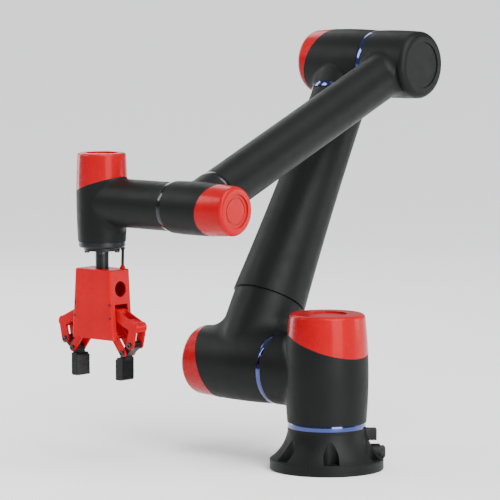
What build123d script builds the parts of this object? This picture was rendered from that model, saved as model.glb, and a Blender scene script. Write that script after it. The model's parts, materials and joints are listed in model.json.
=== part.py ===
from build123d import *
import os
from math import atan2, cos, degrees, pi, radians, sin, tan

# Seven-axis collaborative robot arm with a two-finger parallel gripper.
# Millimetres and degrees. +Z is up, +X is the reach direction, the shoulder, elbow and wrist
# turn about axes along Y, and the origin is the centre of the base flange's underside.
# Each motor housing is a tee: a barrel about its own joint axis, closed by a cap that is cut
# off by a slanting plane, and a branch that carries the next or the previous link.

os.makedirs("parts", exist_ok=True)

# ---- driving dimensions -------------------------------------------------------------------
SHOULDER_Z = 160.0          # height of the shoulder axis
UPPER_LENGTH = 574.0        # shoulder axis to elbow axis
UPPER_LEAN = 29.0           # upper arm's lean back from vertical
FOREARM_LENGTH = 564.0      # elbow axis to wrist axis
FOREARM_DROP = 22.5         # forearm's slope below horizontal
UPPER_Y = -177.0            # plane of the upper arm
FOREARM_Y = -72.0           # plane of the forearm
TOOL_Y = -283.0             # plane of the tool axis

WALL = 5.5                  # cast housing walls
CAP_WALL = 3.5              # moulded cap walls
CAP_TILT = 19.0             # slant of the seam under each cap
SEAM_GAP = 0.5              # gap between two faces that turn past each other
RUNNING = 0.05              # radial clearance of a bearing or a pin
BAND = 9.0                  # width of the polished ring at a joint
RING_WALL = 6.0
RING_CROWN = 0.4            # how far the ring bulges past its edges

FLANGE_R = 95.0             # foot of the base
RIM_H = 17.0
BOLT_CIRCLE_R = 81.0
BOLT_COUNT = 6
BOLT_FIRST = 45.0           # azimuth of the first bolt
BOLT_R = 4.5
POCKET_R = 13.0             # arched pocket over each bolt, open outwards
POCKET_FLOOR = 18.5
BASE_TOP = 70.0
BASE_R = 65.5
BASE_BORE = 52.0
CONNECTOR_AZ = 135.0        # azimuth of the two sockets at the back of the base
SOCKET_Z = 27.0             # height of the round power socket

SHOULDER_R = 69.0           # widest radius of each barrel, and of the branch below it
SHOULDER_BRANCH_R = 61.5
SHOULDER_BRANCH_END = 95.0
UPPER_R = 62.5
UPPER_BRANCH_R = 61.0
UPPER_BRANCH_END = 117.0
UPPER_TOP_R = 49.0
ELBOW_R = 58.5
ELBOW_BRANCH_R = 51.0
ELBOW_BRANCH_END = 61.0
FOREARM_R = 39.0
WRIST_R = 43.0
WRIST_BRANCH_R = 40.0
WRIST_BRANCH_END = 46.0
TOOL_R = 42.0
TOOL_BRANCH_R = 40.0

FLANGE_FACE_Z = -76.0       # below the wrist axis: face of the tool flange
TOOL_FLANGE_R = 38.5
TOOL_FLANGE_H = 10.0
TOOL_PCD_R = 25.0
TOOL_BOLT_R = 3.2
ADAPTER_H = 5.0
ADAPTER_R = 30.0
POST_R = 11.0
GRIPPER_TOP = -111.0        # below the wrist axis: top of the gripper's body

# gripper: pivots of one finger's parallelogram, as (y, z) from the centre of its top face
LINK_LENGTH = 62.0
LINK_OPEN = 53.0            # link's slope below horizontal when the gripper is open
PIN_A = (36.7, -72.5)       # outer link on the body
PIN_B = (19.7, -86.5)       # inner link on the body
BODY_TOP_HALF = 39.5
BODY_FOOT_HALF = 47.0
BODY_H = 116.0
BODY_HALF_DEPTH = 24.5
BODY_WALL = 3.0
PAD_FACE = 42.0             # pad's gripping face from the centre plane, open
TIP_Z = -182.0
MODULE = 1.5                # rack and sector teeth
SECTOR_R = 27.0
TOOTH_HALF = 5.0            # half the teeth's width along X
TOOTH_THINNING = 0.2        # taken off each flank, for play
RACK_LOW = -99.0
RACK_HIGH = -64.0
PORT_R = 13.0               # round port in each side of the case
PORT_Z = -32.0
FINGER_HALF = 14.0           # half the fingertip's width along X
FINGER_BACK = 12.0           # fingertip's thickness behind the pad
CASE_SCREWS = ((38.9, -57.0), (39.8, -79.0))
SCREW_HEAD_R = 2.6
PIN_R = 4.0
PIVOT_R = 3.0
LEAD_R = 2.4


# ---- frames -------------------------------------------------------------------------------
UP_ARM = (-sin(radians(UPPER_LEAN)), 0, cos(radians(UPPER_LEAN)))
ALONG_FOREARM = (cos(radians(FOREARM_DROP)), 0, -sin(radians(FOREARM_DROP)))
ELBOW_X = UPPER_LENGTH * UP_ARM[0]
ELBOW_Z = SHOULDER_Z + UPPER_LENGTH * UP_ARM[2]
WRIST_X = ELBOW_X + FOREARM_LENGTH * ALONG_FOREARM[0]
WRIST_Z = ELBOW_Z + FOREARM_LENGTH * ALONG_FOREARM[2]


def opposite(v):
    """The same direction, turned round."""
    return tuple(-c for c in v)


def along(origin, direction):
    """A frame at origin whose local +Z points along direction and local +X along world Y or X."""
    side = (1, 0, 0) if abs(direction[1]) > 0.5 else (0, 1, 0)
    return Plane(origin=origin, x_dir=side, z_dir=direction)


def point(origin, direction, distance):
    """The point at a distance from origin along direction."""
    return tuple(o + distance * d for o, d in zip(origin, direction))


FAR = (0, -1, 0)            # towards the caps of the shoulder and the elbow
NEAR = (0, 1, 0)            # towards the cap of the wrist
SHOULDER = (0, 0, SHOULDER_Z)
UPPER = (0, UPPER_Y, SHOULDER_Z)
ELBOW = (ELBOW_X, UPPER_Y, ELBOW_Z)
ROOT = (ELBOW_X, FOREARM_Y, ELBOW_Z)
WRIST = (WRIST_X, FOREARM_Y, WRIST_Z)
TOOL = (WRIST_X, TOOL_Y, WRIST_Z)


# ---- shapes used again and again ----------------------------------------------------------
def save(node, *solids):
    """Write one sub-part, as one solid or as a group of separate solids."""
    shape = solids[0] if len(solids) == 1 else Compound(children=list(solids))
    export_step(shape, f"parts/{node}.step")


def disc(radius, low, high):
    """A cylinder about local Z between two heights."""
    return Pos(0, 0, low) * Cylinder(radius, high - low, align=(Align.CENTER, Align.CENTER, Align.MIN))


def tube(outer, inner, low, high):
    """A hollow cylinder about local Z between two heights."""
    return disc(outer, low, high) - disc(inner, low - 1, high + 1)


def turned(*edges):
    """The solid of revolution of an outline in the XZ plane, closed along the Z axis."""
    return revolve(make_face(Wire(edges)), Axis.Z)


def barrel(low, high, r_low, r_mid, r_high, rounding):
    """A slightly bulging barrel about local Z, with its top edge rounded."""
    side = ThreePointArc((r_low, 0, low), (r_mid, 0, 0.35 * low + 0.65 * high / 2), (r_high, 0, high))
    solid = turned(
        Line((0, 0, low), (r_low, 0, low)),
        side,
        Line((r_high, 0, high), (0, 0, high)),
        Line((0, 0, high), (0, 0, low)),
    )
    return fillet(solid.edges().group_by(Axis.Z)[-1], rounding)


def half(solid, origin, normal, keep):
    """The part of a solid above or below a plane."""
    return split(solid, bisect_by=Plane(origin=origin, z_dir=normal), keep=keep)


def blended(barrel_solid, branch, radius):
    """A barrel and its branch in one, with a fillet where they cross."""
    joined = barrel_solid + branch
    return fillet(new_edges(barrel_solid, branch, combined=joined), radius)


def tee(low, high, radii, seam, branch_az, branch_r, branch_end, blend, recess_r, rounding=7.0):
    """A motor housing and its cap, about local Z, with a branch at an azimuth in the XY plane.

    The seam's plane crosses the barrel's axis at height seam and rises towards the branch.
    """
    r_low, r_mid, r_high = radii
    outer = barrel(low, high, r_low, r_mid, r_high, rounding)
    turn = Rot(0, 0, branch_az) * Rot(0, 90, 0)
    joined = blended(outer, turn * disc(branch_r, 0, branch_end), blend)
    slope = tan(radians(CAP_TILT))
    a = radians(branch_az)
    normal = (-slope * cos(a), -slope * sin(a), 1)
    housing = half(joined, (0, 0, seam), normal, Keep.BOTTOM)
    cap = half(outer, (0, 0, seam), normal, Keep.TOP)
    room = disc(r_low - WALL, low - 1, high)
    housing = housing - room - turn * disc(branch_r - WALL, 0, branch_end - WALL)
    housing = housing - turn * disc(branch_r * 0.35, 0, branch_end + 1)
    cap = cap - disc(min(r_high, r_low) - CAP_WALL - 1, low, high - 2 * CAP_WALL)
    cap = cap - disc(recess_r, high - 2.5, high + 1)
    cap = cap - tube(recess_r * 0.80, recess_r * 0.80 - 1.6, high - 3.5, high)
    return housing, cap


def ring(radius):
    """The polished ring between two housings, slightly crowned, on local z = 0 to BAND."""
    inner = radius - RING_WALL
    edge = radius - RING_CROWN
    outline = Wire([
        Line((inner, 0, 0), (edge, 0, 0)),
        ThreePointArc((edge, 0, 0), (radius, 0, BAND / 2), (edge, 0, BAND)),
        Line((edge, 0, BAND), (inner, 0, BAND)),
        Line((inner, 0, BAND), (inner, 0, 0)),
    ])
    return revolve(make_face(outline), Axis.Z)


def drive(ring_r, bore, hub, gear_h, motor_h, hollow, band=BAND):
    """One joint's output flange, gear ring and motor.

    Local z = 0 is the end face of the neck that is driven, and +Z runs into the driving housing.
    """
    gear_low = band + 1.5
    gear_high = gear_low + gear_h
    output = disc(ring_r - RING_WALL - 1, 0, band) + disc(hub, band, gear_high - 1)
    output = output - disc(hollow + 2, -1, gear_high)
    gear = tube(bore - RUNNING, hub + RUNNING, gear_low, gear_high)
    motor = tube(bore - 4, hollow, gear_high, gear_high + motor_h)
    motor = motor + tube(bore * 0.72, hollow, gear_high + motor_h, gear_high + motor_h + 9)
    return output, gear, motor


# ---- base ---------------------------------------------------------------------------------
def base():
    """The foot: a bolt flange with a flared skirt, arched bolt pockets and two capped sockets."""
    foot = turned(
        Line((0, 0, 0), (FLANGE_R - 2, 0, 0)),
        Line((FLANGE_R - 2, 0, 0), (FLANGE_R, 0, 2)),
        Line((FLANGE_R, 0, 2), (FLANGE_R, 0, RIM_H)),
        Line((FLANGE_R, 0, RIM_H), (FLANGE_R - 2, 0, RIM_H + 1.5)),
        ThreePointArc((FLANGE_R - 2, 0, RIM_H + 1.5), (76.5, 0, 36), (BASE_R, 0, 64)),
        Line((BASE_R, 0, 64), (BASE_R, 0, BASE_TOP)),
        Line((BASE_R, 0, BASE_TOP), (0, 0, BASE_TOP)),
        Line((0, 0, BASE_TOP), (0, 0, 0)),
    )
    foot = foot - disc(BASE_BORE, -1, BASE_TOP - 10) - disc(22, -1, BASE_TOP + 1)
    for n in range(BOLT_COUNT):
        at = Rot(0, 0, BOLT_FIRST + n * 360 / BOLT_COUNT) * Pos(BOLT_CIRCLE_R, 0, 0)
        height = BASE_TOP - POCKET_FLOOR
        way_out = Pos(POCKET_R, 0, POCKET_FLOOR + height / 2) * Box(2 * POCKET_R, 2 * POCKET_R, height)
        foot = foot - at * disc(POCKET_R, POCKET_FLOOR, BASE_TOP) - at * way_out - at * disc(BOLT_R, -1, 20)
    out = Rot(0, 0, CONNECTOR_AZ)
    socket = out * Pos(0, 0, SOCKET_Z) * Rot(0, 90, 0)
    foot = foot + socket * disc(14, 60, 88) - disc(BASE_BORE, -1, BASE_TOP - 10)
    foot = foot - out * Pos(94, 0, 26) * Box(12, 28, 24) - socket * disc(9, 80, 89)
    foot = foot - out * Pos(67, 0, 57.5) * Box(12, 21, 21)
    save("base_housing", foot)
    save("base_joint_ring", Pos(0, 0, BASE_TOP) * ring(BASE_R))
    coupling = disc(9 - RUNNING, 80, 88) + disc(12.7, 88, 92) + disc(11.2, 92, 97.5)
    coupling = chamfer(coupling.edges().group_by(Axis.Z)[-1], 1.2)
    save("power_socket", socket * coupling)
    plug = Pos(72, 0, 57.5) * Box(22, 20, 20)
    plug = chamfer(plug.faces().sort_by(Axis.X)[-1].edges(), 1.2)
    save("control_socket", out * plug)
    output, gear, motor = drive(BASE_R, SHOULDER_R - 3 - WALL, 40, 18, 30, 11)
    lift = Pos(0, 0, BASE_TOP)
    save("joint_1_output_flange", lift * output)
    save("joint_1_gear", lift * gear)
    save("joint_1_motor", lift * motor)


# ---- shoulder -----------------------------------------------------------------------------
def shoulder():
    """The upright shoulder tee that turns on the base."""
    low = BASE_TOP + BAND + SEAM_GAP - SHOULDER_Z
    radii = (SHOULDER_R - 3, SHOULDER_R + 0.4, SHOULDER_R - 6)
    housing, cap = tee(low, 100, radii, 53, -90, SHOULDER_BRANCH_R, SHOULDER_BRANCH_END, 15, 33)
    place = Pos(*SHOULDER)
    save("shoulder_housing", place * housing)
    save("shoulder_cap", place * cap)
    neck = along(point(SHOULDER, FAR, SHOULDER_BRANCH_END), FAR)
    save("shoulder_joint_ring", neck * ring(SHOULDER_BRANCH_R))
    output, gear, motor = drive(SHOULDER_BRANCH_R, UPPER_R - 1.5 - WALL, 37, 18, 30, 11)
    save("joint_2_output_flange", neck * output)
    save("joint_2_gear", neck * gear)
    save("joint_2_motor", neck * motor)


# ---- upper arm ----------------------------------------------------------------------------
def azimuth_of(frame, direction):
    """Azimuth of a world direction in a frame's own XY plane, in degrees."""
    local = frame.to_local_coords(Vector(*frame.origin) + Vector(*direction))
    return degrees(atan2(local.Y, local.X))


def upper_arm():
    """The tee on the shoulder joint, and the tapering tube bolted to it."""
    frame = along(UPPER, FAR)
    low = SHOULDER_BRANCH_END + BAND + SEAM_GAP + UPPER_Y
    radii = (UPPER_R - 1.5, UPPER_R, UPPER_R - 4)
    az = azimuth_of(frame, UP_ARM)
    housing, cap = tee(low, 100, radii, 70, az, UPPER_BRANCH_R, UPPER_BRANCH_END, 36, 36, 9)
    save("upper_arm_housing", frame * housing)
    save("upper_arm_cap", frame * cap)
    end = UPPER_LENGTH - ELBOW_BRANCH_END - BAND - SEAM_GAP
    foot = UPPER_BRANCH_END
    inner = UPPER_TOP_R - WALL
    shell = turned(
        Line((0, 0, foot), (60, 0, foot)),
        Line((60, 0, foot), (60, 0, foot + 2)),
        Line((60, 0, foot + 2), (63.5, 0, foot + 3)),
        ThreePointArc((63.5, 0, foot + 3), (54, 0, 300), (UPPER_TOP_R, 0, end)),
        Line((UPPER_TOP_R, 0, end), (0, 0, end)),
        Line((0, 0, end), (0, 0, foot)),
    )
    cone = Pos(0, 0, foot + 6) * Cone(54, inner, 200, align=(Align.CENTER, Align.CENTER, Align.MIN))
    shell = shell - cone - disc(inner, foot + 200, end + 1) - disc(24, foot - 1, foot + 7)
    save("upper_arm_tube", along(UPPER, UP_ARM) * shell)
    down = opposite(UP_ARM)
    neck = along(point(ELBOW, down, ELBOW_BRANCH_END), down)
    save("upper_arm_joint_ring", neck * ring(ELBOW_BRANCH_R))
    output, gear, motor = drive(ELBOW_BRANCH_R, inner, 29, 16, 28, 9)
    save("joint_3_output_flange", neck * output)
    save("joint_3_motor", neck * gear, neck * motor)


# ---- elbow --------------------------------------------------------------------------------
def elbow():
    """The tee that rolls on the end of the upper arm and carries the elbow joint."""
    frame = along(ELBOW, FAR)
    neck_y = FOREARM_Y - 40.5
    low = UPPER_Y - (neck_y - BAND - SEAM_GAP)
    radii = (ELBOW_R - 1, ELBOW_R, ELBOW_R - 5)
    az = azimuth_of(frame, opposite(UP_ARM))
    housing, cap = tee(low, 81, radii, 51, az, ELBOW_BRANCH_R, ELBOW_BRANCH_END, 12, 34, 9)
    save("elbow_housing", frame * housing)
    save("elbow_cap", frame * cap)
    neck = along((ELBOW_X, neck_y, ELBOW_Z), FAR)
    save("elbow_joint_ring", neck * ring(ELBOW_R - 1))
    output, gear, motor = drive(ELBOW_R - 1, ELBOW_R - 1 - WALL, 34, 17, 28, 10)
    save("joint_4_output_flange", neck * output)
    save("joint_4_gear", neck * gear)
    save("joint_4_motor", neck * motor)


# ---- forearm ------------------------------------------------------------------------------
def forearm():
    """The forearm tube, cast in one with the drum at its root, and the drum's end cover."""
    frame = along(ROOT, NEAR)
    low = -40.5
    seam = 40.5
    top = 54.0
    drum = barrel(low, top, ELBOW_R - 1, ELBOW_R, ELBOW_R - 1.5, 12)
    az = azimuth_of(frame, ALONG_FOREARM)
    turn = Rot(0, 0, az) * Rot(0, 90, 0)
    end = FOREARM_LENGTH - WRIST_BRANCH_END - BAND - SEAM_GAP
    body = half(blended(drum, turn * disc(FOREARM_R, 0, end), 20), (0, 0, seam), (0, 0, 1), Keep.BOTTOM)
    body = body - disc(ELBOW_R - 1 - WALL, low + WALL, seam + 1) - disc(20, low - 1, seam)
    body = body - turn * disc(FOREARM_R - WALL, 20, end + 1)
    save("forearm_housing", frame * body)
    cover = half(drum, (0, 0, seam), (0, 0, 1), Keep.TOP)
    cover = cover - disc(39.5, top - 2, top + 1) - disc(45, seam - 1, top - 6)
    save("forearm_end_cover", frame * cover)
    up = opposite(ALONG_FOREARM)
    neck = along(point(WRIST, up, WRIST_BRANCH_END), up)
    save("forearm_joint_ring", neck * ring(WRIST_BRANCH_R))
    output, gear, motor = drive(WRIST_BRANCH_R, FOREARM_R - WALL, 21, 14, 30, 7)
    save("joint_5_output_flange", neck * output)
    save("joint_5_motor", neck * gear, neck * motor)


# ---- wrist --------------------------------------------------------------------------------
def wrist():
    """The tee that rolls on the end of the forearm and carries the wrist joint."""
    frame = along(WRIST, NEAR)
    neck_y = FOREARM_Y - 52.5
    low = neck_y + BAND + SEAM_GAP - FOREARM_Y
    radii = (WRIST_R - 0.5, WRIST_R + 0.3, WRIST_R - 3.5)
    az = azimuth_of(frame, opposite(ALONG_FOREARM))
    housing, cap = tee(low, 86, radii, 46, az, WRIST_BRANCH_R, WRIST_BRANCH_END, 10, 28)
    save("wrist_housing", frame * housing)
    save("wrist_cap", frame * cap)
    neck = along((WRIST_X, neck_y, WRIST_Z), NEAR)
    save("wrist_joint_ring", neck * ring(TOOL_BRANCH_R + 0.8))
    output, gear, motor = drive(TOOL_BRANCH_R, WRIST_R - 0.5 - WALL, 23, 14, 30, 7)
    save("joint_6_output_flange", neck * output)
    save("joint_6_gear", neck * gear)
    save("joint_6_motor", neck * motor)


# ---- tool head ----------------------------------------------------------------------------
def tool_head():
    """The last tee, with the tool axis upright, and its turning flange."""
    low = FLANGE_FACE_Z + TOOL_FLANGE_H + SEAM_GAP
    radii = (TOOL_R - 2.3, TOOL_R + 0.2, TOOL_R - 2)
    reach = FOREARM_Y - 52.5 - TOOL_Y
    housing, cap = tee(low, 81, radii, 27, 90, TOOL_BRANCH_R, reach, 15, 27, 5)
    place = Pos(*TOOL)
    save("tool_head_housing", place * housing)
    save("tool_head_cap", place * cap)
    bore = TOOL_R - 2.3 - WALL
    output, gear, motor = drive(TOOL_FLANGE_R + 1, bore, 21, 14, 34, 6, band=SEAM_GAP)
    top = place * Pos(0, 0, FLANGE_FACE_Z + TOOL_FLANGE_H)
    save("joint_7_output_flange", top * output)
    save("joint_7_gear", top * gear)
    save("joint_7_motor", top * motor)
    plate = disc(TOOL_FLANGE_R, 0, TOOL_FLANGE_H)
    plate = fillet(plate.edges().group_by(Axis.Z)[0], 4) - disc(10, -1, 7)
    for n in range(4):
        at = Rot(0, 0, 45 + 90 * n) * Pos(TOOL_PCD_R, 0, 0)
        plate = plate - at * disc(2.6, -1, 8)
    save("tool_flange", place * Pos(0, 0, FLANGE_FACE_Z) * plate)


# ---- gripper ------------------------------------------------------------------------------
def gripper_place():
    """Frame of the gripper: the centre of its top face, with the fingers opening along Y."""
    return Pos(TOOL[0], TOOL[1], TOOL[2] + GRIPPER_TOP)


def slab(outline, low, high):
    """An outline in (y, z) made solid between two X planes."""
    face = make_face(Polyline(*[(0, y, z) for y, z in outline], close=True))
    return Pos(low, 0, 0) * extrude(face, amount=high - low, dir=(1, 0, 0))


def bar(y, z, radius, low, high):
    """A cylinder along X at (y, z) between two X planes."""
    return Pos(low, y, z) * Rot(0, 90, 0) * disc(radius, 0, high - low)


def capsule(a, b, radius, low, high):
    """A link's flat plate with round ends, between two X planes."""
    run = Vector(0, b[0] - a[0], b[1] - a[1])
    side = Vector(0, -run.Z, run.Y).normalized() * radius
    corners = [
        (a[0] + side.Y, a[1] + side.Z),
        (b[0] + side.Y, b[1] + side.Z),
        (b[0] - side.Y, b[1] - side.Z),
        (a[0] - side.Y, a[1] - side.Z),
    ]
    return slab(corners, low, high) + bar(*a, radius, low, high) + bar(*b, radius, low, high)


def both_plates(make, inner, outer):
    """The same plate in front of and behind the middle plane."""
    return make(inner, outer) + make(-outer, -inner)


def sides(solid):
    """A right-hand (+Y) piece and its mirror image."""
    return {"right": solid, "left": mirror(solid, Plane.XZ)}


def swing(pin):
    """Where a link of the parallelogram that starts at pin ends when the gripper is open."""
    a = radians(LINK_OPEN)
    return pin[0] + LINK_LENGTH * cos(a), pin[1] - LINK_LENGTH * sin(a)


PIN_C = swing(PIN_A)
PIN_D = swing(PIN_B)


def tooth(pitch_line, base):
    """A straight-flanked tooth along +Y, from below the root to its tip."""
    flank = tan(radians(20))
    half_thickness = pi * MODULE / 4 - TOOTH_THINNING
    tip = pitch_line + 0.9 * MODULE
    root_half = half_thickness + (pitch_line - base) * flank
    tip_half = half_thickness - (tip - pitch_line) * flank
    return [(base, -root_half), (tip, -tip_half), (tip, tip_half), (base, root_half)]


def sector():
    """The toothed sector on the outer link's hub, facing the rack."""
    root = SECTOR_R - 1.25 * MODULE
    solid = bar(0, 0, root, -TOOTH_HALF, TOOTH_HALF)
    pitch_angle = degrees(pi * MODULE / SECTOR_R)
    outline = tooth(SECTOR_R, root - 1)
    for n in range(-7, 2):
        turn = Rot(180 - (n + 0.5) * pitch_angle, 0, 0)
        solid = solid + turn * slab(outline, -TOOTH_HALF, TOOTH_HALF)
    return solid & slab([(0, 0), (-60, -80), (-60, 15)], -TOOTH_HALF - 1, TOOTH_HALF + 1)


def rack():
    """The double-sided rack between the two sectors, with the spindle's bore."""
    line = PIN_A[0] - SECTOR_R
    root = line - 1.25 * MODULE
    corners = [(-root, RACK_LOW), (root, RACK_LOW), (root, RACK_HIGH), (-root, RACK_HIGH)]
    body = slab(corners, -TOOTH_HALF, TOOTH_HALF)
    outline = tooth(line, root - 1)
    for n in range(-5, 2):
        one = Pos(0, 0, PIN_A[1] + n * pi * MODULE) * slab(outline, -TOOTH_HALF, TOOTH_HALF)
        body = body + one + mirror(one, Plane.XZ)
    return body - disc(PIVOT_R + RUNNING, RACK_LOW - 1, RACK_HIGH + 1)


def gripper_body():
    """The gripper's red case, open below, with a window in each side for the links."""
    outline = [
        (-BODY_TOP_HALF, 0), (BODY_TOP_HALF, 0), (BODY_FOOT_HALF, -BODY_H), (-BODY_FOOT_HALF, -BODY_H)
    ]
    w = BODY_WALL
    hollow = [
        (-BODY_TOP_HALF + w, -w), (BODY_TOP_HALF - w, -w),
        (BODY_FOOT_HALF - w, -BODY_H - 1), (-BODY_FOOT_HALF + w, -BODY_H - 1),
    ]
    case = slab(outline, -BODY_HALF_DEPTH, BODY_HALF_DEPTH)
    upright = case.edges().filter_by(lambda e: abs((e @ 1 - e @ 0).X) < 0.1 and abs((e @ 1 - e @ 0).Z) > 50)
    case = fillet(upright, 4)
    case = fillet(case.edges().group_by(Axis.Z)[-1], 2.5)
    case = case - slab(hollow, -BODY_HALF_DEPTH + w, BODY_HALF_DEPTH - w)
    side_y = BODY_TOP_HALF - (BODY_FOOT_HALF - BODY_TOP_HALF) * PORT_Z / BODY_H
    for s in (-1, 1):
        case = case - Pos(0, s * 50, -BODY_H + 24) * Box(30, 40, 70)
        case = case - Pos(0, s * side_y, PORT_Z) * Rot(-s * 90, 0, 0) * disc(PORT_R, -6, 6)
        for y, z in (PIN_A, PIN_B):
            case = case - bar(s * y, z, PIN_R + RUNNING, -23.2, 23.2)
        for y, z in CASE_SCREWS:
            case = case - bar(s * y, z, SCREW_HEAD_R, BODY_HALF_DEPTH - 1.6, BODY_HALF_DEPTH + 1)
            case = case - bar(s * y, z, SCREW_HEAD_R, -BODY_HALF_DEPTH - 1, 1.6 - BODY_HALF_DEPTH)
    case = case - disc(POST_R - 4, -w - 1, 1)
    return case


def gripper():
    """The adapter post, the gripper's case, its drive, its links, fingers and pads."""
    place = gripper_place()
    face = FLANGE_FACE_Z - GRIPPER_TOP
    post = disc(ADAPTER_R, face - ADAPTER_H, face) + disc(POST_R, 0, face - ADAPTER_H)
    post = post - disc(POST_R - 4, -1, face + 1)
    for n in range(4):
        at = Rot(0, 0, 45 + 90 * n) * Pos(TOOL_PCD_R, 0, 0)
        post = post - at * disc(TOOL_BOLT_R, face - ADAPTER_H - 1, face + 1)
    save("gripper_adapter", place * post)
    screws = []
    for n in range(4):
        at = Rot(0, 0, 45 + 90 * n) * Pos(TOOL_PCD_R, 0, 0)
        head = disc(4.5, face - ADAPTER_H - 4, face - ADAPTER_H) + disc(2.5, face - ADAPTER_H, face + 7)
        screws.append(place * at * (head - disc(2, face - ADAPTER_H - 5, face - ADAPTER_H - 2)))
    save("adapter_screws", *screws)

    save("gripper_case", place * gripper_body())
    motor = disc(17, -42, -BODY_WALL) + disc(PIVOT_R, -97, -42)
    save("gripper_motor", place * motor)
    save("gripper_rack", place * rack())
    pins = []
    for s in (-1, 1):
        pins.append(place * bar(s * PIN_A[0], PIN_A[1], PIN_R, -23, 23))
        for low, high in ((8.6, 23), (-23, -8.6)):
            pins.append(place * bar(s * PIN_B[0], PIN_B[1], PIN_R, low, high))
    save("gripper_pivot_pins", *pins)

    knee = (80.0, -93.0)
    arm = both_plates(lambda a, b: capsule(PIN_A, knee, 8, a, b) + capsule(knee, PIN_C, 7.5, a, b), 9, 13)
    arm = arm + capsule((66, -86), knee, 6, -9, 9) + bar(*PIN_A, 8, -13, 13)
    arm = arm + bar(*knee, 9, -13, 13)
    arm = arm + Pos(0, *PIN_A) * sector()
    arm = arm - bar(*PIN_A, PIN_R + RUNNING, -20, 20) - bar(*PIN_C, PIVOT_R + RUNNING, -20, 20)

    inner = both_plates(lambda a, b: capsule(PIN_B, PIN_D, 6.5, a, b), 9, 13)
    middle = ((PIN_B[0] + PIN_D[0]) / 2, (PIN_B[1] + PIN_D[1]) / 2)
    inner = inner + bar(*middle, 4, -9, 9)
    inner = inner - bar(*PIN_B, PIN_R + RUNNING, -20, 20) - bar(*PIN_D, PIVOT_R + RUNNING, -20, 20)

    back = PAD_FACE + 4
    finger = capsule(PIN_C, PIN_D, 6.5, -8.7, 8.7) + capsule(PIN_D, (back + 5.5, -151), 5.5, -8.7, 8.7)
    rear = back + FINGER_BACK
    tip = [
        (back, TIP_Z + 1), (back, -144.5), (rear, -144.5),
        (rear, TIP_Z + 2), (rear - 2, TIP_Z), (back + 1, TIP_Z),
    ]
    finger = finger + slab(tip, -FINGER_HALF, FINGER_HALF)
    finger = finger - bar(*PIN_C, PIVOT_R, -20, 20) - bar(*PIN_D, PIVOT_R, -20, 20)
    grip = [(PAD_FACE, TIP_Z + 1), (back, TIP_Z), (back, -147), (PAD_FACE, -148)]
    pad = slab(grip, 0.5 - FINGER_HALF, FINGER_HALF - 0.5)
    finger_pins = [bar(*PIN_C, PIVOT_R, -13, 13), bar(*PIN_D, PIVOT_R, -13, 13)]

    for side, solid in sides(arm).items():
        save(f"{side}_outer_link", place * solid)
    for side, solid in sides(inner).items():
        save(f"{side}_inner_link", place * solid)
    for side, solid in sides(finger).items():
        save(f"{side}_finger", place * solid)
    for side, solid in sides(pad).items():
        save(f"{side}_finger_pad", place * solid)
    for side, fold in (("right", 1), ("left", -1)):
        group = [place * (p if fold > 0 else mirror(p, Plane.XZ)) for p in finger_pins]
        save(f"{side}_finger_pins", *group)

    top_at = (-21.2, 27.0)
    foot_at = (-16.5, 31.0)
    high_plug = disc(3.9, face - 3, face) + disc(3.1, face - 5, face - 3)
    low_plug = disc(5.0, 0, 4) + disc(3.3, 4, 7)
    save("gripper_lead_plugs", place * Pos(*top_at, 0) * high_plug, place * Pos(*foot_at, 0) * low_plug)
    route = [(*top_at, face - 5), (*top_at, face - 11), (*foot_at, 13), (*foot_at, 7)]
    save("gripper_lead", place * lead(route, LEAD_R))


def lead(route, radius):
    """A round lead along straight runs joined by tangent arcs, each as large as its runs allow."""
    points = [Vector(*p) for p in route]
    radii = []
    for a, b, c in zip(points, points[1:], points[2:]):
        turn = (b - a).get_angle(c - b)
        radii.append(0.45 * min((b - a).length, (c - b).length) / tan(radians(turn / 2)))
    print("lead radii", [round(r, 1) for r in radii])
    path = FilletPolyline(*route, radius=radii)
    section = Plane(origin=route[0], z_dir=points[1] - points[0]) * Circle(radius)
    solid = sweep(section, path)
    print("lead length", round(path.length, 1))
    print("lead volume ratio", round(solid.volume / (path.length * pi * radius**2), 3))
    return solid


base()
shoulder()
upper_arm()
elbow()
forearm()
wrist()
tool_head()
gripper()
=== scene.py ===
import json
from math import atan2, cos, pi, radians, sin

import bmesh
import bpy
from mathutils import Matrix, Vector


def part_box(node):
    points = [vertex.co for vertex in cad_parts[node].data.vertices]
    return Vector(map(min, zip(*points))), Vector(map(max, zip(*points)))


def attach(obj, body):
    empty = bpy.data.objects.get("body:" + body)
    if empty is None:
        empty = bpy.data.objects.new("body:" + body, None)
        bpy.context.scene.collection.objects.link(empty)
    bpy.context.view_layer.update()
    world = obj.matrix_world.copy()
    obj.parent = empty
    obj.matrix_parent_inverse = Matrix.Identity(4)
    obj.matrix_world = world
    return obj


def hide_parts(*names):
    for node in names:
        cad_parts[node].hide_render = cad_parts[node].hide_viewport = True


# Seven-axis robot arm with a two-finger gripper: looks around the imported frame. Metres, +Z up.
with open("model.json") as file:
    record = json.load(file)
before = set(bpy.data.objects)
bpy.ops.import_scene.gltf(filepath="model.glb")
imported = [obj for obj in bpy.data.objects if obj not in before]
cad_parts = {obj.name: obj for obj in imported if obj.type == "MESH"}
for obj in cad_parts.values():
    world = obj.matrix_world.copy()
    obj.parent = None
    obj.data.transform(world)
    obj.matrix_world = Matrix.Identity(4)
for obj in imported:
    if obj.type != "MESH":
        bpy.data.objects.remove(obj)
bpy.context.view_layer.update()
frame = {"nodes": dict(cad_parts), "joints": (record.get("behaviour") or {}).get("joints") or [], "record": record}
NODES = frame["nodes"]
JOINTS = {j["name"]: j for j in frame["joints"]}
BODY_OF = {n: b for b, ns in frame["record"]["behaviour"]["bodies"].items() for n in ns}

MM = 0.001

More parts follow.
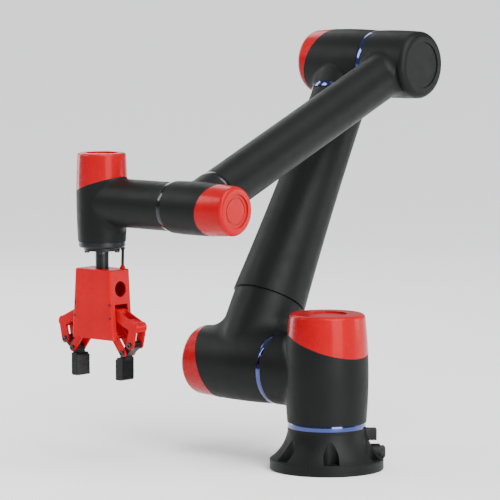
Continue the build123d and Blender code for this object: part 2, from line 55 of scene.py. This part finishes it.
# ---- the view and its light ---------------------------------------------------------------
EYE = Vector((4.2233, 3.5142, 0.9094))
AIM = Vector((0.003, -0.167, 0.355))
LENS = 240.0                    # mm
SENSOR = 36                     # mm
FAR_CLIP = 1000                 # m, past the floor's edge
FLOOR_R = 400                   # m
FLOOR_SIDES = 96

MIDDLE = Vector((-0.02, -0.12, 0.36))     # what the soft boxes face
SOFT_BOXES = (                  # name, azimuth, elevation, distance, width, height, watts
    ("key", 70, 14, 3.4, 1.8, 2.8, 150),
    ("side_panel", 139, 8.5, 3.4, 1.1, 1.3, 28),
    ("upper_left", -46, 34, 3.2, 1.0, 1.4, 40),
    ("left_strip", -88, 12, 3.2, 0.8, 2.8, 40),
    ("top", 20, 80, 3.0, 2.6, 2.6, 14),
    ("back_left", 235, 30, 3.2, 1.0, 2.2, 16),
)
SUN_AZIMUTH, SUN_ELEVATION = 75, 58
SUN_SPREAD = 50                 # degrees, for soft shadows
SUN_STRENGTH = 5.0
SKY = (0.95, 0.97, 1.0, 1)
SKY_STRENGTH = 0.38

# ---- the arm's details --------------------------------------------------------------------
RING_JOINT = {                  # the blue rings
    "base_joint_ring": "joint_1_base",
    "shoulder_joint_ring": "joint_2_shoulder",
    "upper_arm_joint_ring": "joint_3_upper_arm_roll",
    "elbow_joint_ring": "joint_4_elbow",
}
CAP_JOINT = {
    "shoulder_cap": "joint_1_base",
    "upper_arm_cap": "joint_2_shoulder",
    "elbow_cap": "joint_4_elbow",
    "wrist_cap": "joint_6_wrist",
    "tool_head_cap": "joint_7_tool",
}
# the seam beads: thin near-black beads in the caps' seams, painted shade for the seams' shadow lines
SHADE_BEAD_R = 0.55 * MM
SHADE_BEAD_SINK = 0.25 * MM           # how far a bead lies under the surface
SHADE_BEAD_STEPS = 144                # sections round a bead
SHADE_BEAD_SIDES = 8                  # points round a section
SEAM_COS = (0.940, 0.951)       # how steeply the caps' feet slant: 19 degrees
SEAM_RIM = 0.93                 # a foot's outer rim lies past this share of its widest radius

SCREW_POINTS = 96               # points round a screw's head
KNURLS = 24
CASE_SCREWS = ((38.9, 57.0), (39.8, 79.0))      # mm from the case's middle, mm below its top
CASE_WALL_STEP = 1.6 * MM       # the broad faces lie this far inside the case's box
CASE_HEAD = (2.45 * MM, 1.25 * MM, 1.1 * MM)    # a screw's head radius, height and socket
ADAPTER_HEAD = (4.4 * MM, 3.95 * MM, 2.1 * MM)
ADAPTER_HEAD_R = 4.5 * MM       # the CAD screws' head radius and height
ADAPTER_HEAD_H = 4 * MM
PIN_HEAD = (3.9 * MM, 2.0 * MM, 1.6 * MM)
PIN_WASHER = ((5.2, 0.05), (5.2, 0.55), (4.9, 0.8))     # radius, height: mm
PIN_JOINTS = {
    "right": ("gripper_close", "right_inner_link_swing"),
    "left": ("left_outer_link_swing", "left_inner_link_swing"),
}

PAD_RIBS = 9
PAD_GROOVE = 0.7 * MM
PAD_MARGIN = 2 * MM             # plain rubber above and below the ribs
PAD_EDGE = 0.35 * MM

COUPLING = (                    # radius, distance from the base's axis, knurl depth: mm
    (8.9, 80.0, 0), (8.9, 88.1, 0), (12.6, 88.1, 0), (12.6, 89.3, 0), (11.8, 89.9, 0),
    (10.8, 90.1, 0.28), (10.9, 95.4, 0.28), (10.2, 96.3, 0), (8.8, 97.5, 0), (8.0, 97.5, 0),
    (7.6, 96.8, 0), (2.2, 96.8, 0), (1.8, 97.3, 0),
)
COUPLING_POINTS = 144
COUPLING_KNURLS = 36
PLUG_HALF = 9.9 * MM
PLUG_CORNER = 2.2 * MM
PLUG_CORNERS = ((1, 1, 0), (-1, 1, 90), (-1, -1, 180), (1, -1, 270))    # signs, first degree
PLUG_STEPS = (                  # distance from the base's axis, groove depth: mm
    (61.5, 0.0), (72.0, 0.0), (72.3, 0.5), (73.3, 0.5), (73.6, 0.0), (75.0, 0.0), (75.3, 0.5),
    (76.3, 0.5), (76.6, 0.0), (78.0, 0.0), (78.3, 0.5), (79.3, 0.5), (79.6, 0.0), (82.0, 0.0),
    (82.8, 0.9),
)
LEAD_R = 2.4 * MM
UPPER_PLUG = (                  # radius, distance from the flange: mm
    (3.8, 0.0), (3.8, 2.6), (3.3, 3.0), (2.9, 3.1), (3.05, 3.6), (2.65, 3.9), (2.9, 4.4),
    (2.5, 4.9),
)
LOWER_PLUG = (                  # radius, distance from the case: mm
    (4.9, 0.0), (4.9, 1.0), (4.5, 1.3), (4.5, 3.4), (4.0, 3.9), (3.1, 4.1), (3.2, 4.8),
    (2.8, 5.2), (3.1, 5.8), (2.7, 6.2), (2.9, 6.6), (2.5, 6.95),
)


# ---- materials ----------------------------------------------------------------------------
class Look:
    """A procedural material: a Principled shader and the nodes that feed it."""

    def __init__(self, name, **sockets):
        self.mat = bpy.data.materials.new(name)
        self.mat.use_nodes = True
        self.tree = self.mat.node_tree
        self.shader = self.tree.nodes["Principled BSDF"]
        for key, value in sockets.items():
            self.set(key.replace("_", " "), value)
        self.place = self.tree.nodes.new("ShaderNodeTexCoord").outputs["Object"]
        self.normal = None

    def set(self, socket, value):
        self.shader.inputs[socket].default_value = value

    def gloss(self, specular, tint=None):
        """The strength of the reflection, and its colour where it isn't white."""
        self.set("Specular IOR Level", specular)
        if tint:
            self.set("Specular Tint", (*tint, 1.0))

    def node(self, kind, **inputs):
        made = self.tree.nodes.new("ShaderNode" + kind)
        for key, value in inputs.items():
            socket = made.inputs[key.replace("_", " ")]
            if isinstance(value, bpy.types.NodeSocket):
                self.tree.links.new(value, socket)
            else:
                socket.default_value = value
        return made

    def stretched(self, x, y, z):
        """The object's coordinates, stretched along its axes."""
        return self.node("Mapping", Vector=self.place, Scale=(x, y, z)).outputs[0]

    def noise(self, scale, detail=3.0, rough=0.55, at=None):
        made = self.node("TexNoise", Scale=scale, Detail=detail, Roughness=rough)
        self.tree.links.new(at or self.place, made.inputs["Vector"])
        return made.outputs["Fac"]

    def cells(self, scale):
        made = self.node("TexVoronoi", Scale=scale)
        self.tree.links.new(self.place, made.inputs["Vector"])
        return made.outputs["Distance"]

    def ramp(self, value, low, high, out_low=0.0, out_high=1.0):
        """A value stretched from one range to another, and kept inside it."""
        made = self.node("MapRange", Value=value)
        made.inputs["From Min"].default_value = low
        made.inputs["From Max"].default_value = high
        made.inputs["To Min"].default_value = out_low
        made.inputs["To Max"].default_value = out_high
        return made.outputs[0]

    def mix(self, a, b, by):
        """Colour a where by is 0 and colour b where it is 1."""
        made = self.tree.nodes.new("ShaderNodeMix")
        made.data_type = "RGBA"
        for key, value in ((6, a), (7, b)):
            if isinstance(value, bpy.types.NodeSocket):
                self.tree.links.new(value, made.inputs[key])
            else:
                made.inputs[key].default_value = (*value, 1)
        self.tree.links.new(by, made.inputs[0])
        return made.outputs[2]

    def colour(self, socket):
        self.tree.links.new(socket, self.shader.inputs["Base Color"])

    def rough(self, value, low, high):
        """Roughness from low to high over a noise's usual spread."""
        spread = self.ramp(value, 0.3, 0.7, low, high)
        self.tree.links.new(spread, self.shader.inputs["Roughness"])

    def bump(self, height, depth, strength):
        """Relief on top of what is there already: depth is its size in metres."""
        made = self.node("Bump", Height=height, Distance=depth, Strength=strength)
        if self.normal:
            self.tree.links.new(self.normal, made.inputs["Normal"])
        self.normal = made.outputs[0]
        self.tree.links.new(self.normal, self.shader.inputs["Normal"])


def satin_black():
    """Charcoal powder coat on the castings: a fine leathery grain and a soft sheen."""
    look = Look("charcoal_shell")
    look.gloss(0.11)
    cloud = look.ramp(look.noise(9, 3), 0.35, 0.65)
    speck = look.ramp(look.noise(420, 2, 0.6), 0.58, 0.80, 0.0, 0.6)
    tone = look.mix((0.0042, 0.0049, 0.0048), (0.0060, 0.0068, 0.0066), cloud)
    look.colour(look.mix(tone, (0.0100, 0.0110, 0.0107), speck))
    look.rough(look.noise(60, 4), 0.42, 0.52)
    look.bump(look.noise(900, 2, 0.5), 0.00012, 0.5)
    look.bump(look.noise(160, 2, 0.5), 0.00025, 0.25)
    return look.mat


def moulded_red():
    """Satin-gloss red moulded caps, with the faint waviness and flow flecks of a moulding."""
    look = Look("red_cap", Coat_Weight=0.10, Coat_Roughness=0.13)
    look.gloss(0.28, (1.0, 0.02, 0.02))
    cloud = look.ramp(look.noise(14, 3), 0.35, 0.65)
    fleck = look.ramp(look.noise(500, 2, 0.6), 0.58, 0.80, 0.0, 0.4)
    tone = look.mix((0.29, 0.0009, 0.0045), (0.33, 0.0012, 0.0060), cloud)
    look.colour(look.mix(tone, (0.24, 0.0008, 0.0040), fleck))
    look.rough(look.noise(75, 4), 0.24, 0.31)
    look.bump(look.noise(650, 2, 0.5), 0.00006, 0.45)
    look.bump(look.noise(45, 2, 0.5), 0.00030, 0.16)
    return look.mat


def painted_red():
    """Satin red enamel on the gripper's machined parts."""
    look = Look("red_gripper", Coat_Weight=0.02, Coat_Roughness=0.12)
    look.gloss(0.24, (1.0, 0.02, 0.02))
    cloud = look.ramp(look.noise(22, 3), 0.35, 0.65)
    fleck = look.ramp(look.noise(700, 2, 0.6), 0.60, 0.78, 0.0, 0.5)
    tone = look.mix((0.38, 0.0009, 0.0052), (0.43, 0.0013, 0.0070), cloud)
    look.colour(look.mix(tone, (0.30, 0.0008, 0.0050), fleck))
    look.rough(look.noise(90, 4), 0.25, 0.33)
    look.bump(look.noise(1300, 2, 0.5), 0.00008, 0.5)
    return look.mat


def polished_blue(name, axis):
    """A polished joint ring with a blue lacquer, and lathe lines round its own axis."""
    look = Look(name, Metallic=1.0, Coat_Weight=0.8, Coat_Roughness=0.06)
    along = look.node("VectorMath", Vector=look.place)
    along.operation = "DOT_PRODUCT"
    along.inputs[1].default_value = axis
    lines = look.node("TexNoise", Scale=5200.0, Detail=2.0)
    lines.noise_dimensions = "1D"
    look.tree.links.new(along.outputs["Value"], lines.inputs["W"])
    look.colour(look.mix((0.016, 0.032, 0.145), (0.030, 0.054, 0.22), lines.outputs["Fac"]))
    look.rough(look.noise(180, 3), 0.07, 0.13)
    look.bump(lines.outputs["Fac"], 0.00003, 0.35)
    look.bump(look.noise(120, 3), 0.00002, 0.3)
    return look.mat


def dark_ring():
    """The wrist's rings: black, polished, barely lighter than the castings."""
    look = Look("dark_ring", Metallic=0.9, Coat_Weight=0.35, Coat_Roughness=0.12)
    look.colour(look.mix((0.008, 0.0085, 0.010), (0.020, 0.021, 0.024), look.noise(180, 3)))
    look.rough(look.noise(220, 3), 0.16, 0.26)
    look.bump(look.noise(400, 2), 0.00003, 0.4)
    return look.mat


def black_moulding():
    """Black glass-filled plastic with a spark-eroded texture."""
    look = Look("black_plastic")
    look.gloss(0.22)
    cloud = look.noise(120, 3)
    look.colour(look.mix((0.0040, 0.0042, 0.0044), (0.0080, 0.0082, 0.0085), cloud))
    look.rough(look.noise(300, 3), 0.42, 0.58)
    look.bump(look.cells(2200), 0.00008, 0.5)
    return look.mat


def black_anodised():
    """Hard-anodised aluminium with a fine milled lay."""
    look = Look("dark_anodised", Metallic=0.75)
    lay = look.noise(400, 3, 0.6, look.stretched(1.0, 1.0, 14.0))
    look.colour(look.mix((0.009, 0.0095, 0.0105), (0.019, 0.0195, 0.021), lay))
    look.rough(look.noise(150, 3), 0.32, 0.44)
    look.bump(lay, 0.00004, 0.5)
    look.bump(look.noise(2500, 1), 0.00003, 0.4)
    return look.mat


def rubber(name, grain, low=0.012, high=0.022):
    """Black rubber, dull and faintly dusty: its dark and light greys, and its grain's scale."""
    look = Look(name)
    look.gloss(0.3)
    dust = look.ramp(look.noise(60, 5, 0.7), 0.40, 0.70)
    look.colour(look.mix((low, low, low), (high, high, high), dust))
    look.rough(look.noise(220, 3), 0.66, 0.82)
    look.bump(look.noise(grain, 2, 0.6), 0.00010, 0.6)
    return look.mat


def turned_steel(name, low, high):
    """Turned and ground steel, between two colours."""
    look = Look(name, Metallic=1.0)
    lay = look.noise(500, 4, 0.6, look.stretched(1.0, 16.0, 16.0))
    look.colour(look.mix(low, high, lay))
    look.rough(look.noise(160, 3), 0.22, 0.36)
    look.bump(lay, 0.00003, 0.5)
    return look.mat


def motor_alloy():
    """The motors' and gears' dull cast alloy, inside the housings."""
    look = Look("motor_parts", Metallic=0.8)
    look.colour(look.mix((0.16, 0.15, 0.14), (0.30, 0.28, 0.26), look.noise(70, 4)))
    look.rough(look.noise(200, 3), 0.40, 0.60)
    look.bump(look.noise(800, 2), 0.00006, 0.5)
    return look.mat


LOOKS = {
    "charcoal_shell": satin_black(),
    "red_cap": moulded_red(),
    "red_gripper": painted_red(),
    "black_plastic": black_moulding(),
    "dark_anodised": black_anodised(),
    "black_rubber": rubber("black_rubber", 1500),
    "lead_jacket": rubber("lead_jacket", 2600, 0.007, 0.013),
    "machined_steel": turned_steel("machined_steel", (0.42, 0.42, 0.43), (0.60, 0.60, 0.61)),
    "dark_ring": dark_ring(),
    "motor_parts": motor_alloy(),
}
SCREW_STEEL = turned_steel("black_oxide_screw", (0.030, 0.030, 0.032), (0.070, 0.070, 0.074))
# near-black rubber for the seam beads: painted shade, the shadow line of each cap's seam
SEAM_SHADE = rubber("seam_seal", 1800, 0.004, 0.008)


def dress():
    """Give every CAD node the material of its slot."""
    slot_of = {row["node"]: row["material_slot"] for row in frame["record"]["subparts"]}
    for name, obj in NODES.items():
        if name in RING_JOINT:
            mat = polished_blue("polished_" + name, JOINTS[RING_JOINT[name]]["axis"])
        else:
            mat = LOOKS[slot_of[name]]
        obj.data.materials.clear()
        obj.data.materials.append(mat)


# ---- making pieces ------------------------------------------------------------------------
def link(name, data):
    """A new object in the scene."""
    obj = bpy.data.objects.new(name, data)
    bpy.context.scene.collection.objects.link(obj)
    return obj


def new_object(name, bm, look, body, smooth=40, bevel=0.0):
    """A piece made of a bmesh, in the row frame, riding on a body."""
    mesh = bpy.data.meshes.new(name)
    bmesh.ops.recalc_face_normals(bm, faces=bm.faces)
    bm.to_mesh(mesh)
    bm.free()
    obj = link(name, mesh)
    mesh.materials.append(look)
    if bevel:
        edge = obj.modifiers.new("bevel", "BEVEL")
        edge.width = bevel
        edge.segments = 2
        edge.limit_method = "ANGLE"
        edge.angle_limit = radians(35)
    for face in mesh.polygons:
        face.use_smooth = True
    mesh.set_sharp_from_angle(angle=radians(smooth))
    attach(obj, body)
    return obj


def at(origin, direction=(0, 0, 1)):
    """The place of a local frame whose +Z points along a direction."""
    turn = Vector(direction).to_track_quat("Z", "Y").to_matrix().to_4x4()
    return Matrix.Translation(Vector(origin)) @ turn


def middle(node):
    """The middle of a node's box."""
    lo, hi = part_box(node)
    return (lo + hi) / 2


def loft(bm, rings, place=Matrix.Identity(4), caps=True):
    """Join closed rings of points, each as long as the last, into a skin."""
    made = [[bm.verts.new(place @ Vector(p)) for p in ring] for ring in rings]
    for lower, upper in zip(made, made[1:]):
        count = len(lower)
        for i in range(count):
            j = (i + 1) % count
            bm.faces.new((lower[i], lower[j], upper[j], upper[i]))
    if caps:
        bm.faces.new(list(reversed(made[0])))
        bm.faces.new(made[-1])


def circle(radius, z, count=48, wave=0.0, teeth=0):
    """A ring of points, with shallow teeth if asked."""
    points = []
    for i in range(count):
        a = 2 * pi * i / count
        r = radius + wave * cos(teeth * a)
        points.append((r * cos(a), r * sin(a), z))
    return points


def hexagon(radius, z, count):
    """Points round a hexagon, one for each point of a circle."""
    points = []
    for i in range(count):
        a = 2 * pi * i / count
        side = (a + pi / 6) % (pi / 3) - pi / 6
        r = radius * cos(pi / 6) / cos(side)
        points.append((r * cos(a), r * sin(a), z))
    return points


def turned(bm, profile, place):
    """A turned piece from rows of radius and height in millimetres."""
    loft(bm, [circle(r * MM, z * MM) for r, z in profile], place)


def screw(bm, place, head_r, head_h, hex_r, knurled=False):
    """A socket head screw's head, standing on local z = 0.

    It is chamfered, has a hexagon socket, and is knurled if asked.
    """
    wave = 0.018 * head_r if knurled else 0.0
    chamfer = 0.12 * head_h
    n = SCREW_POINTS
    rings = [
        circle(head_r * 0.97, 0, n),
        circle(head_r, 0.08 * head_h, n, wave, KNURLS),
        circle(head_r, head_h - chamfer, n, wave, KNURLS),
        circle(head_r - chamfer, head_h, n),
        circle(hex_r * 1.22, head_h, n),
        circle(hex_r * 1.10, head_h - 0.05 * head_h, n),
        hexagon(hex_r, head_h - 0.10 * head_h, n),
        hexagon(hex_r, 0.42 * head_h, n),
        circle(hex_r * 0.5, 0.34 * head_h, n),
    ]
    loft(bm, rings, place)


# ---- pieces -------------------------------------------------------------------------------
def cap_rim(cap, origin, axis, side, up):
    """The outer rim of a cap's slanted foot: rows of angle, radius and height on the axis."""
    mesh = NODES[cap].data
    rim = {}
    for face in mesh.polygons:
        slope = -face.normal.dot(axis)
        if not SEAM_COS[0] < slope < SEAM_COS[1]:
            continue
        for index in face.vertices:
            p = mesh.vertices[index].co - origin
            x, y = p.dot(side), p.dot(up)
            rim[index] = (atan2(y, x), (x * x + y * y) ** 0.5, p.dot(axis))
    widest = max(r for _, r, _ in rim.values())
    outer = sorted(v for v in rim.values() if v[1] > SEAM_RIM * widest)
    first = (outer[-1][0] - 2 * pi, *outer[-1][1:])
    last = (outer[0][0] + 2 * pi, *outer[0][1:])
    return [first, *outer, last]


def seam_shade_bead(cap, joint):
    """A thin dark bead in the seam between a cap and its housing, round the cap's foot: painted shade, standing in
    for the seam's shadow line.
    """
    axis = Vector(JOINTS[joint]["axis"]).normalized()
    origin = Vector(JOINTS[joint]["pos_m"])
    if (middle(cap) - origin).dot(axis) < 0:
        axis = -axis
    side = axis.orthogonal().normalized()
    up = axis.cross(side)
    rim = cap_rim(cap, origin, axis, side, up)
    rings = []
    for i in range(SHADE_BEAD_STEPS + 1):
        a = -pi + 2 * pi * (i % SHADE_BEAD_STEPS) / SHADE_BEAD_STEPS
        k = next(n for n in range(1, len(rim)) if rim[n][0] >= a)
        (a0, r0, z0), (a1, r1, z1) = rim[k - 1], rim[k]
        t = (a - a0) / max(a1 - a0, 1e-9)
        r, z = r0 + t * (r1 - r0) - SHADE_BEAD_SINK, z0 + t * (z1 - z0)
        out = cos(a) * side + sin(a) * up
        ring = []
        for j in range(SHADE_BEAD_SIDES):
            b = 2 * pi * j / SHADE_BEAD_SIDES
            ring.append(origin + (r + SHADE_BEAD_R * cos(b)) * out + (z + SHADE_BEAD_R * sin(b)) * axis)
        rings.append(ring)
    bm = bmesh.new()
    loft(bm, rings, caps=False)
    bmesh.ops.remove_doubles(bm, verts=bm.verts, dist=1e-6)
    new_object(cap + "_seal", bm, SEAM_SHADE, BODY_OF[cap], 180)


def case_screws():
    """Four socket screws in each broad face of the gripper's case."""
    lo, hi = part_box("gripper_case")
    mid = (lo + hi) / 2
    bm = bmesh.new()
    for face in (-1, 1):
        x = mid.x + face * ((hi.x - lo.x) / 2 - CASE_WALL_STEP)
        for across, drop in CASE_SCREWS:
            for s in (-1, 1):
                spot = (x, mid.y + s * across * MM, hi.z - drop * MM)
                screw(bm, at(spot, (face, 0, 0)), *CASE_HEAD)
    new_object("case_screws", bm, SCREW_STEEL, "gripper")


def adapter_screws():
    """The four cap screws under the adapter plate, with knurled heads and hexagon sockets."""
    lo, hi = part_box("adapter_screws")
    mid = (lo + hi) / 2
    reach = ((hi.x - lo.x) / 2 - ADAPTER_HEAD_R) * 2 ** 0.5
    bm = bmesh.new()
    for n in range(4):
        a = radians(45 + 90 * n)
        spot = (mid.x + reach * cos(a), mid.y + reach * sin(a), lo.z + ADAPTER_HEAD_H)
        screw(bm, at(spot, (0, 0, -1)), *ADAPTER_HEAD, knurled=True)
    piece = new_object("adapter_cap_screws", bm, SCREW_STEEL, "gripper")
    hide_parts("adapter_screws")


def pin_heads(side):
    """Button heads and thrust washers on the ends of one finger's two pins."""
    a = Vector(JOINTS[PIN_JOINTS[side][0]]["pos_m"])
    b = Vector(JOINTS[PIN_JOINTS[side][1]]["pos_m"])
    c = Vector(JOINTS[side + "_finger_level"]["pos_m"])
    lo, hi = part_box(side + "_finger_pins")
    on_washer = Matrix.Translation((0, 0, PIN_WASHER[-1][1] * MM))
    bm = bmesh.new()
    for spot in (c, c + b - a):
        for face, x in ((1, hi.x), (-1, lo.x)):
            place = at((x, spot.y, spot.z), (face, 0, 0))
            turned(bm, PIN_WASHER, place)
            screw(bm, place @ on_washer, *PIN_HEAD)
    new_object(side + "_pin_heads", bm, SCREW_STEEL, side + "_finger")


def ribbed_pad(side):
    """One finger's rubber pad: rounded, with grooves across its gripping face."""
    node = side + "_finger_pad"
    lo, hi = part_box(node)
    inward = 1 if side == "right" else -1
    grip, back = (lo.y, hi.y) if inward > 0 else (hi.y, lo.y)
    groove = grip + PAD_GROOVE * inward
    pitch = (hi.z - lo.z - 2 * PAD_MARGIN) / PAD_RIBS
    z = lo.z + PAD_MARGIN
    profile = [(back, lo.z + 0.2 * MM), (groove, lo.z + 0.2 * MM), (grip, z - 0.8 * MM)]
    for _ in range(PAD_RIBS):
        profile += [(grip, z + 0.62 * pitch), (groove, z + 0.74 * pitch)]
        profile += [(groove, z + 0.88 * pitch), (grip, z + pitch)]
        z += pitch
    profile += [(grip, hi.z - 1.6 * MM), (groove, hi.z - 0.6 * MM), (back, hi.z - 0.4 * MM)]
    bm = bmesh.new()
    loft(bm, [[(x, y, z) for y, z in profile] for x in (lo.x, hi.x)])
    name, look, body = side + "_ribbed_pad", LOOKS["black_rubber"], side + "_finger"
    piece = new_object(name, bm, look, body, 30, PAD_EDGE)
    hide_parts(node)


def power_coupling():
    """The round socket at the back of the base: a flange, a knurled nut and a sealed face."""
    mid = middle("power_socket")
    out = Vector((mid.x, mid.y, 0)).normalized()
    rings = [
        circle(r * MM, z * MM, COUPLING_POINTS, wave * MM, COUPLING_KNURLS)
        for r, z, wave in COUPLING
    ]
    bm = bmesh.new()
    loft(bm, rings, at((0, 0, mid.z), out))
    piece = new_object("power_coupling", bm, LOOKS["black_plastic"], "base")
    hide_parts("power_socket")


def control_plug():
    """The square plug above it: a rounded hood with finger grooves."""
    mid = middle("control_socket")
    out = Vector((mid.x, mid.y, 0)).normalized()
    across = Vector((-out.y, out.x, 0))
    rings = []
    for reach, inset in PLUG_STEPS:
        r = PLUG_CORNER - inset * MM
        ring = []
        for sx, sy, start in PLUG_CORNERS:
            for k in range(5):
                a = radians(start + 22.5 * k)
                w = sx * (PLUG_HALF - PLUG_CORNER) + r * cos(a)
                h = sy * (PLUG_HALF - PLUG_CORNER) + r * sin(a)
                ring.append(out * reach * MM + across * w + Vector((0, 0, mid.z + h)))
        rings.append(ring)
    bm = bmesh.new()
    loft(bm, rings)
    piece = new_object("control_plug", bm, LOOKS["black_plastic"], "base")
    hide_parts("control_socket")


def lead_ends():
    """The gripper lead's two plugs: a black one under the flange and a red one on the case."""
    lead_lo, lead_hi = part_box("gripper_lead")
    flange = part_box("gripper_lead_plugs")[1].z
    case_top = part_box("gripper_case")[1].z
    bm = bmesh.new()
    turned(bm, UPPER_PLUG, at((lead_lo.x + LEAD_R, lead_lo.y + LEAD_R, flange), (0, 0, -1)))
    piece = new_object("lead_plug_upper", bm, LOOKS["black_plastic"], "gripper")
    bm = bmesh.new()
    turned(bm, LOWER_PLUG, at((lead_hi.x - LEAD_R, lead_hi.y - LEAD_R, case_top)))
    foot = new_object("lead_plug_lower", bm, LOOKS["red_gripper"], "gripper")
    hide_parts("gripper_lead_plugs")
    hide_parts("gripper_lead_plugs")


# ---- stage --------------------------------------------------------------------------------
def towards(azimuth, elevation):
    """The direction of an azimuth and an elevation in degrees."""
    a, e = radians(azimuth), radians(elevation)
    return Vector((cos(a) * cos(e), sin(a) * cos(e), sin(e)))


def camera():
    """The reference view: from the front left of the reach direction, a little above the arm."""
    lens = bpy.data.cameras.new("camera")
    lens.lens = LENS
    lens.sensor_width = SENSOR
    lens.clip_end = FAR_CLIP
    obj = link("camera", lens)
    obj.location = EYE
    obj.rotation_euler = (EYE - AIM).to_track_quat("Z", "Y").to_euler()
    bpy.context.scene.camera = obj


def floor():
    """A plain pale floor that reaches the horizon."""
    mesh = bpy.data.meshes.new("floor")
    bm = bmesh.new()
    bmesh.ops.create_circle(bm, cap_ends=True, segments=FLOOR_SIDES, radius=FLOOR_R)
    bm.to_mesh(mesh)
    bm.free()
    obj = link("floor", mesh)
    look = Look("floor", Roughness=0.55)
    look.colour(look.mix((0.88, 0.88, 0.88), (0.91, 0.91, 0.91), look.noise(3, 4)))
    mesh.materials.append(look.mat)


def soft_box(name, azimuth, elevation, distance, width, height, power):
    """A soft box that faces the middle of the arm."""
    light = bpy.data.lights.new(name, "AREA")
    light.shape = "RECTANGLE"
    light.size = width
    light.size_y = height
    light.energy = power
    obj = link(name, light)
    away = towards(azimuth, elevation)
    obj.location = MIDDLE + distance * away
    obj.rotation_euler = away.to_track_quat("Z", "Y").to_euler()


def lights():
    """The soft boxes, a wide soft sun and a dim plain sky."""
    for row in SOFT_BOXES:
        soft_box(*row)
    sun = bpy.data.lights.new("sun", "SUN")
    sun.energy = SUN_STRENGTH
    sun.angle = radians(SUN_SPREAD)
    away = towards(SUN_AZIMUTH, SUN_ELEVATION)
    link("sun", sun).rotation_euler = away.to_track_quat("Z", "Y").to_euler()
    world = bpy.data.worlds.new("studio")
    world.use_nodes = True
    back = world.node_tree.nodes["Background"]
    back.inputs["Color"].default_value = SKY
    back.inputs["Strength"].default_value = SKY_STRENGTH
    bpy.context.scene.world = world


dress()
camera()
floor()
lights()
# a dark bead in each cap's seam: painted shade for the seam's shadow line
for cap, joint in CAP_JOINT.items():
    seam_shade_bead(cap, joint)
case_screws()
adapter_screws()
power_coupling()
control_plug()
lead_ends()
for side in ("right", "left"):
    pin_heads(side)
    ribbed_pad(side)
